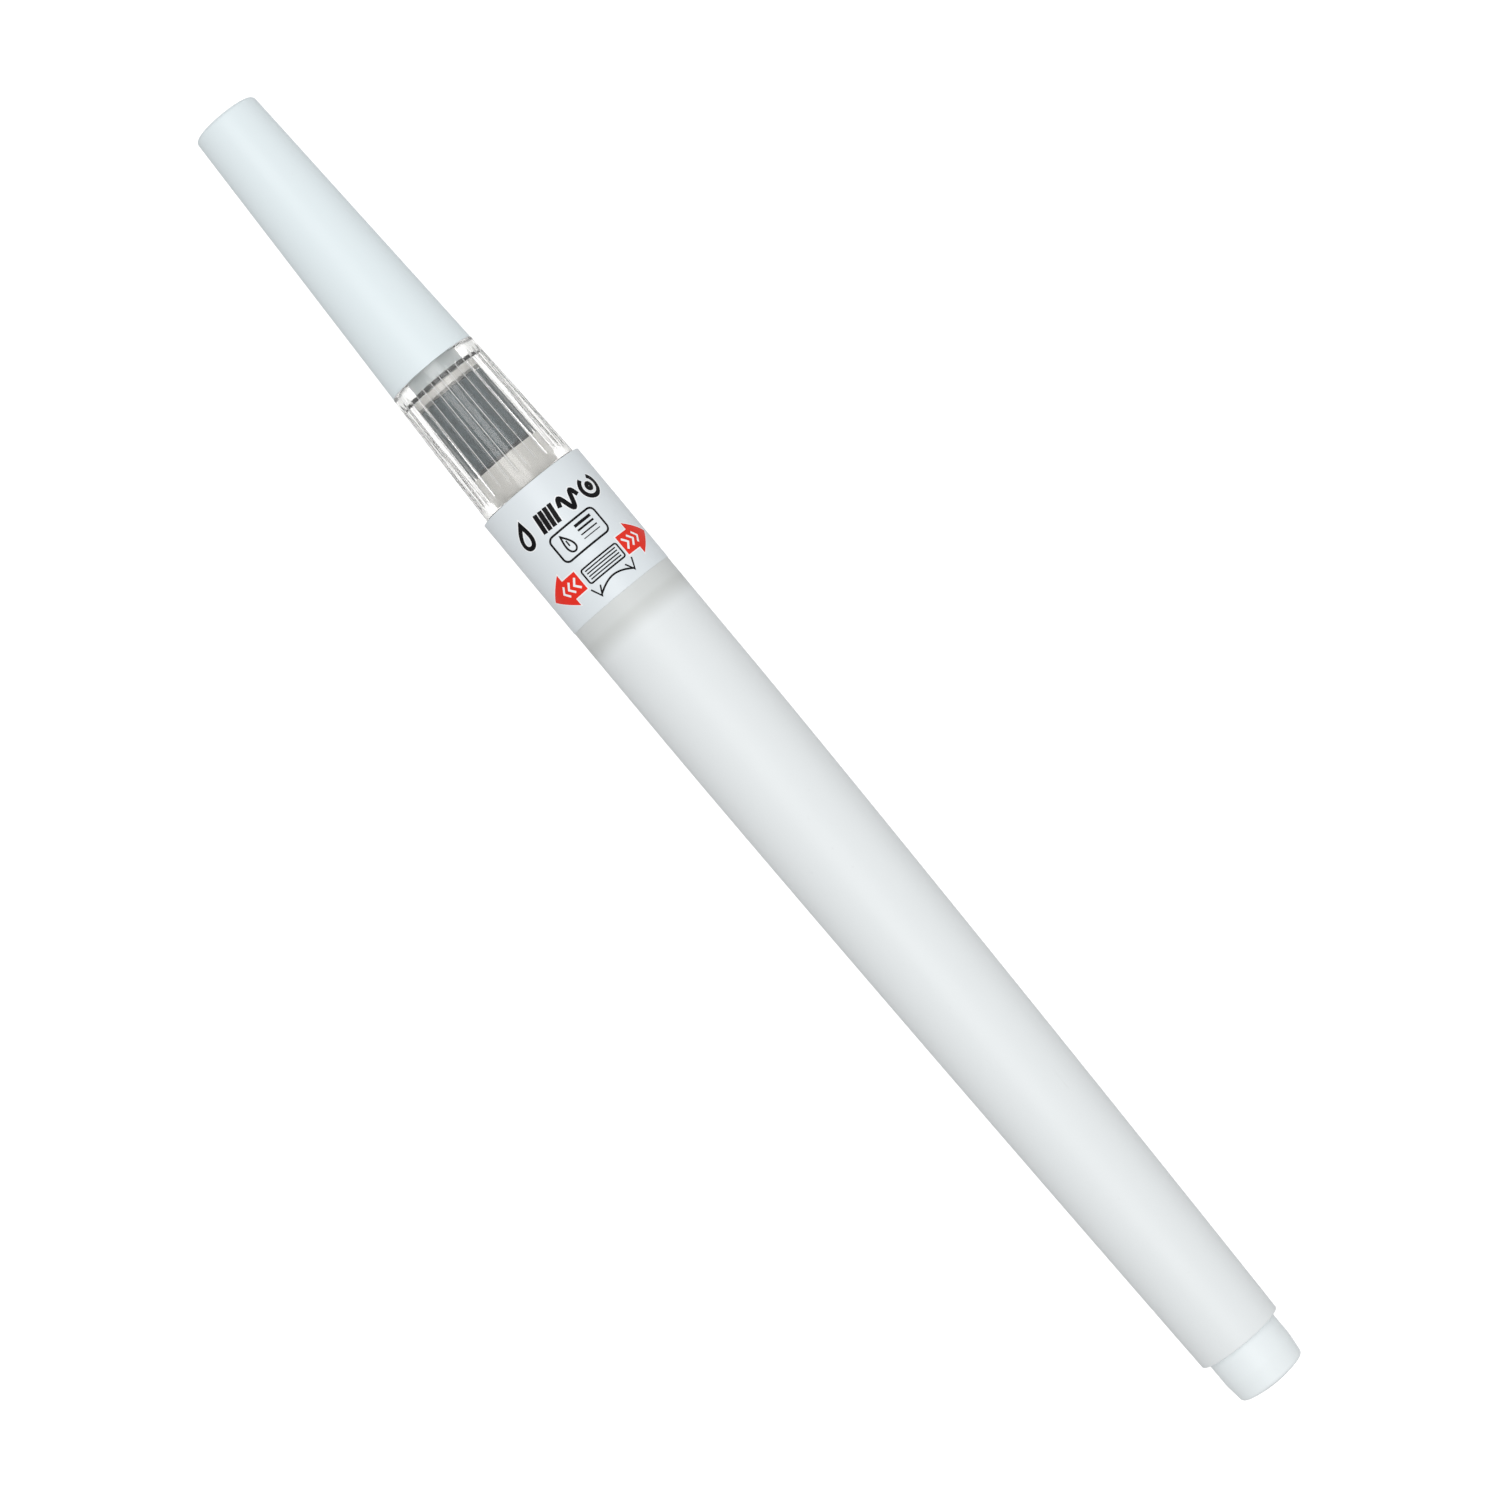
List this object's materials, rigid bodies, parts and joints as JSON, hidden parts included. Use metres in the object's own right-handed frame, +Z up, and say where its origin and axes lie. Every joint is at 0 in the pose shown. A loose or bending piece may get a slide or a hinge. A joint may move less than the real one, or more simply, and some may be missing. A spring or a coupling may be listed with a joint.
{
  "type": "brush pen",
  "caption": "Capped brush pen with a frosted squeeze barrel, a labelled screw joint, a clear fluted holder showing a dark ink buffer, and a tapered white cap over a fine brush.",
  "frame": {"origin": "on the pen's axis, halfway along the closed pen", "axes": "+X along the pen towards the brush and the capped end, +Z up through the middle of the label's printed front, Y across"},
  "size_m": [0.1688, 0.0124, 0.0125],
  "materials": {
    "cap_plastic": "satin moulded, cool white",
    "frosted_barrel": "frosted, translucent, white ink behind it",
    "clear_plastic": "clear, polished, fluted",
    "label_film": "printed pale film",
    "buffer_fibre": "dark bonded fibre",
    "wick_fibre": "bonded fibre rod",
    "bristle_nylon": "fine tapered nylon filaments",
    "soft_white": "soft waxy polyethylene",
    "stem_plastic": "natural moulded",
    "seal_rubber": "matt",
    "ball_steel": "polished bearing ball"
  },
  "bodies": {
    "barrel": {"barrel": "frosted_barrel", "tail_plug": "frosted_barrel", "mouth_plug": "soft_white", "label_wrap": "label_film"},
    "mixing_ball": {"mixing_ball": "ball_steel"},
    "brush_unit": {"feed_stem": "stem_plastic", "seal_ring": "seal_rubber", "ink_buffer": "buffer_fibre", "relay_wick": "wick_fibre", "brush_collar": "stem_plastic", "bristle_tuft": "bristle_nylon"},
    "holder": {"clear_holder": "clear_plastic", "nose_cone": "cap_plastic"},
    "cap": {"cap_shell": "cap_plastic", "cap_liner": "soft_white"}
  },
  "joints": [
    {"name": "brush_unit_feed", "type": "slide", "parent": "barrel", "child": "brush_unit", "axis": [1, 0, 0], "range_m": [0, 0.006]},
    {"name": "holder_screw", "type": "hinge", "parent": "brush_unit", "child": "holder", "pos_m": [0.03, 0, 0], "axis": [1, 0, 0], "range_deg": [0, 1080]},
    {"name": "cap_pull", "type": "slide", "parent": "holder", "child": "cap", "axis": [1, 0, 0], "range_m": [0, 0.04]},
    {"name": "ball_roll", "type": "slide", "parent": "barrel", "child": "mixing_ball", "axis": [-0.9999, 0, 0.0128], "range_m": [0, 0.0745]}
  ],
  "couplings": [
    {"joint": "holder_screw", "follows": "brush_unit_feed", "rad_per_m": 3141.6}
  ]
}
